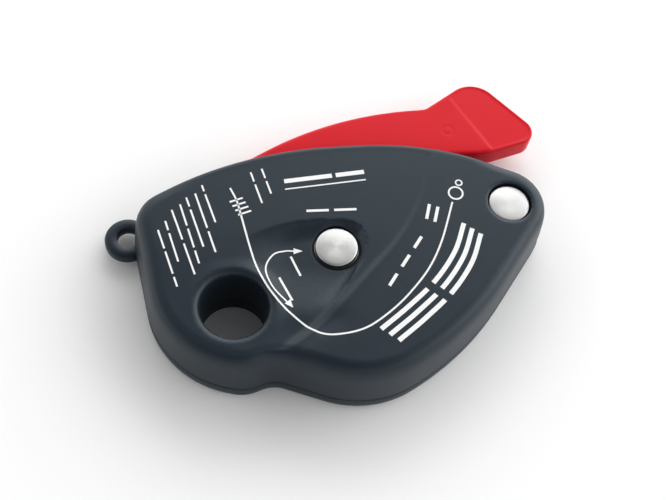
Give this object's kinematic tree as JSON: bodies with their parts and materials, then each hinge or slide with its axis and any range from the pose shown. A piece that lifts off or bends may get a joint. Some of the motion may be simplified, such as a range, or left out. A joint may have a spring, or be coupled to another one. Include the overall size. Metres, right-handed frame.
{
  "type": "rope descender",
  "caption": "Braking descender for climbing rope with a swinging cover, press-button lock, red release lever, brake cam and connector hole.",
  "frame": {"origin": "centre of the connector hole at the back plate's outer face", "axes": "+X from the connector end towards the load rope's end, +Y towards the lever, +Z from the back plate towards the cover, along the axles and the connector hole"},
  "size_m": [0.1842, 0.1466, 0.0294],
  "materials": {
    "back_plate": "satin dark anodised aluminium",
    "swing_cover": "satin dark anodised aluminium, fine grain",
    "release_button": "radially brushed stainless steel",
    "button_bezel": "black retaining ring",
    "lock_bushing": "hardened steel, pressed in",
    "cover_bushing": "plain bronze",
    "lock_pin": "ground steel",
    "lock_spring": "spring steel",
    "main_axle": "turned stainless steel",
    "thrust_washer_low": "plain bronze",
    "thrust_washer_high": "plain bronze",
    "bobbin": "turned stainless steel",
    "handle_spring": "spring steel",
    "handle_crank": "stamped steel plate",
    "handle": "semi-gloss red moulded plastic",
    "handle_rivet_a": "plain steel",
    "handle_rivet_b": "plain steel",
    "upper_axle": "turned stainless steel, domed head",
    "bobbin_spacer": "plain steel",
    "upper_bobbin": "turned stainless steel",
    "cover_washer": "plain bronze",
    "cam_pin": "ground steel",
    "brake_cam": "cast stainless steel",
    "cam_follower": "ground steel",
    "cam_spring": "spring steel",
    "handle_stop": "ground steel"
  },
  "bodies": {
    "frame": {"back_plate": "back_plate", "main_axle": "main_axle", "thrust_washer_low": "thrust_washer_low", "thrust_washer_high": "thrust_washer_high", "bobbin": "bobbin", "handle_spring": "handle_spring", "upper_axle": "upper_axle", "bobbin_spacer": "bobbin_spacer", "upper_bobbin": "upper_bobbin", "cover_washer": "cover_washer", "cam_pin": "cam_pin", "cam_spring": "cam_spring", "handle_stop": "handle_stop", "lock_spring": "lock_spring"},
    "cover": {"swing_cover": "swing_cover", "button_bezel": "button_bezel", "lock_bushing": "lock_bushing", "cover_bushing": "cover_bushing"},
    "button": {"release_button": "release_button"},
    "lock": {"lock_pin": "lock_pin"},
    "lever": {"handle": "handle", "handle_crank": "handle_crank", "handle_rivet_a": "handle_rivet_a", "handle_rivet_b": "handle_rivet_b"},
    "cam": {"brake_cam": "brake_cam", "cam_follower": "cam_follower"}
  },
  "joints": [
    {"name": "cover_swing", "type": "hinge", "parent": "frame", "child": "cover", "pos_m": [0.1128, 0.0461, 0], "axis": [0, 0, 1], "range_deg": [0, 95], "deforming": ["lock_pin"]},
    {"name": "button_press", "type": "slide", "parent": "cover", "child": "button", "axis": [0, 0, -1], "range_m": [0, 0.0012], "stiffness_N_per_m": 800, "springref_m": -0.002},
    {"name": "lock_travel", "type": "slide", "parent": "frame", "child": "lock", "axis": [0, 0, -1], "range_m": [0, 0.0012], "deforming": ["lock_spring"]},
    {"name": "handle_pull", "type": "hinge", "parent": "frame", "child": "lever", "pos_m": [0.0407, 0.0259, 0], "axis": [0, 0, 1], "range_deg": [0, 65], "stiffness_Nm_per_rad": 0.15, "springref_deg": -22.92},
    {"name": "cam_turn", "type": "hinge", "parent": "frame", "child": "cam", "pos_m": [0.084, 0.004, 0], "axis": [0, 0, 1], "range_deg": [0, 13]}
  ],
  "couplings": [
    {"joint": "lock_travel", "follows": "button_press", "ratio": 1},
    {"joint": "cam_turn", "follows": "handle_pull", "ratio": 0.2}
  ]
}
